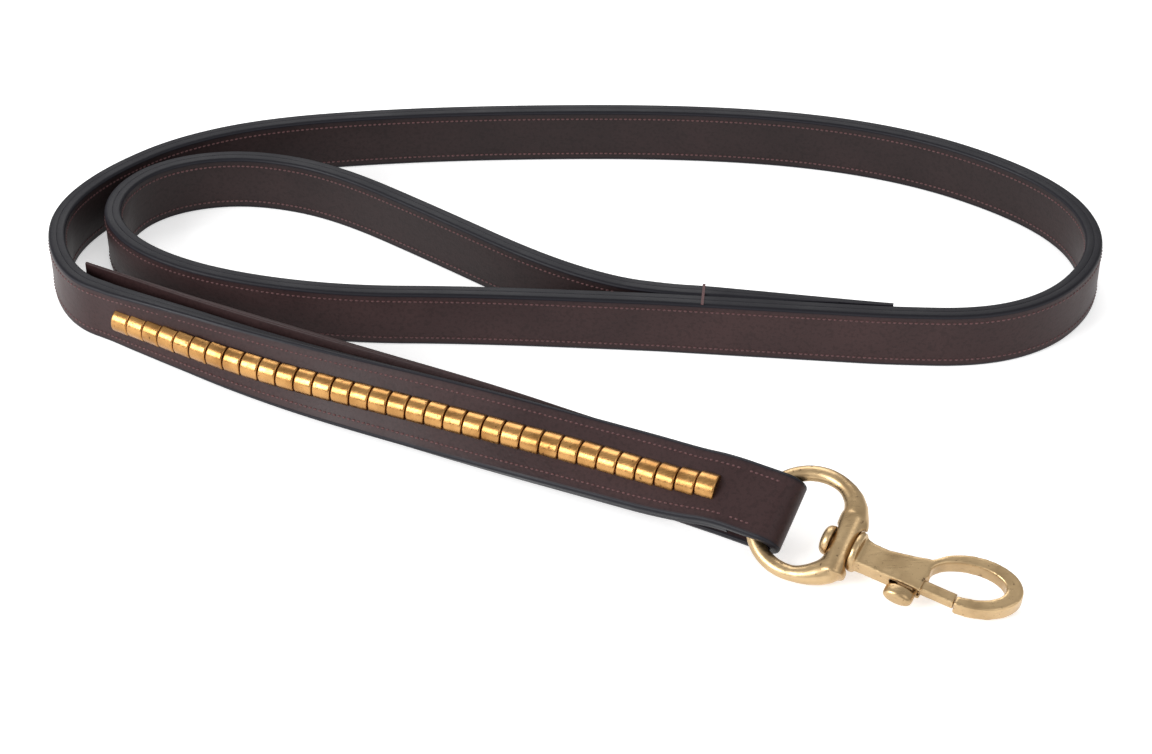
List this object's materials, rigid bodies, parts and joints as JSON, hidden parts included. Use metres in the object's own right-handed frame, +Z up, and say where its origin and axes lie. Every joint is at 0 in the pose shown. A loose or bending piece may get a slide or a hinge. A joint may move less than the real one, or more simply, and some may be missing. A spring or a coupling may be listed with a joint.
{
  "type": "leather lead with swivel bolt snap",
  "caption": "Doubled, stitched leather lead with a clincher-bar panel, a sewn hand loop and a brass swivel bolt snap with a sliding gate.",
  "frame": {"origin": "centre of the bounding box, on the floor that the lead stands on", "axes": "+Z up, +X along the long side of the loop towards the end with the snap, +Y away from the clincher panel"},
  "size_m": [0.3281, 0.2319, 0.0211],
  "materials": {
    "leather_outer": "smooth dyed dark brown bridle leather, black edges",
    "leather_lining": "dark brown bridle leather lining",
    "thread": "waxed reddish brown thread",
    "clincher_brass": "polished, slightly tarnished",
    "cast_brass": "satin cast brass",
    "spring_steel": "bright wire"
  },
  "bodies": {
    "lead": {"outer_leather": "leather_outer", "lining_leather": "leather_lining", "outer_thread": "thread", "inner_thread": "thread", "whip_stitch": "thread", "clincher_bars": "clincher_brass"},
    "bow": {"swivel_bow": "cast_brass"},
    "hook": {"hook_body": "cast_brass", "swivel_stud": "cast_brass", "bolt_spring": "spring_steel"},
    "bolt": {"gate_bolt": "cast_brass", "thumb_knob": "cast_brass"}
  },
  "joints": [
    {"name": "bow_swing", "type": "hinge", "parent": "lead", "child": "bow", "pos_m": [0.05368, -0.08067, 0.01072], "axis": [0.4115, 0.7621, 0.4998], "range_deg": [-4, 4]},
    {"name": "hook_swivel", "type": "hinge", "parent": "bow", "child": "hook", "pos_m": [0.07682, -0.09525, 0.00839], "axis": [0.8804, -0.4583, -0.1219], "continuous": true},
    {"name": "bolt_slide", "type": "slide", "parent": "hook", "child": "bolt", "axis": [-0.8804, 0.4583, 0.1219], "range_m": [0, 0.006], "stiffness_N_per_m": 400, "springref_m": -0.004, "deforming": ["bolt_spring"]}
  ]
}
